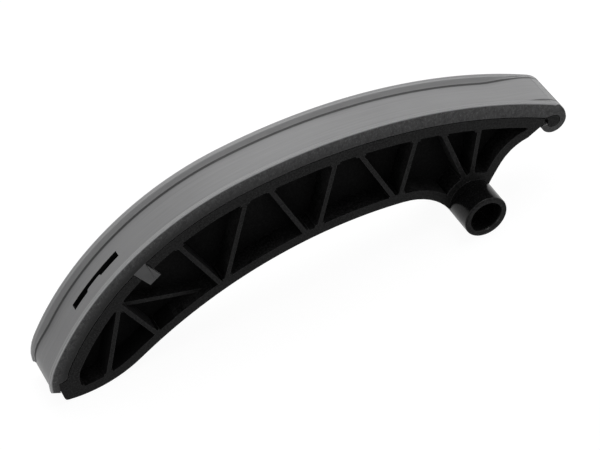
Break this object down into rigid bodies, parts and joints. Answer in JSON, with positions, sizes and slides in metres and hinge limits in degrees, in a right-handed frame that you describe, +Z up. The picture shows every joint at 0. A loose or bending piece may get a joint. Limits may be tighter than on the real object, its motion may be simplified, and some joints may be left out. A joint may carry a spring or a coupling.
{
  "type": "timing chain guide",
  "caption": "Curved timing chain guide: a black truss-ribbed rail carrier with a pivot tube and a grey hooked slide lining.",
  "frame": {"origin": "centre of the bounding box's bottom face, on the surface that the guide stands on", "axes": "+X along the rail towards the pivot and hooked nose end, -Y towards the side where the pivot tube stands proud, +Z up towards the wear face"},
  "size_m": [0.268, 0.039, 0.0843],
  "materials": {
    "carrier_black": "satin",
    "lining_grey": "matte"
  },
  "bodies": {
    "root": {"rail_carrier": "carrier_black", "slide_lining": "lining_grey"}
  },
  "joints": []
}
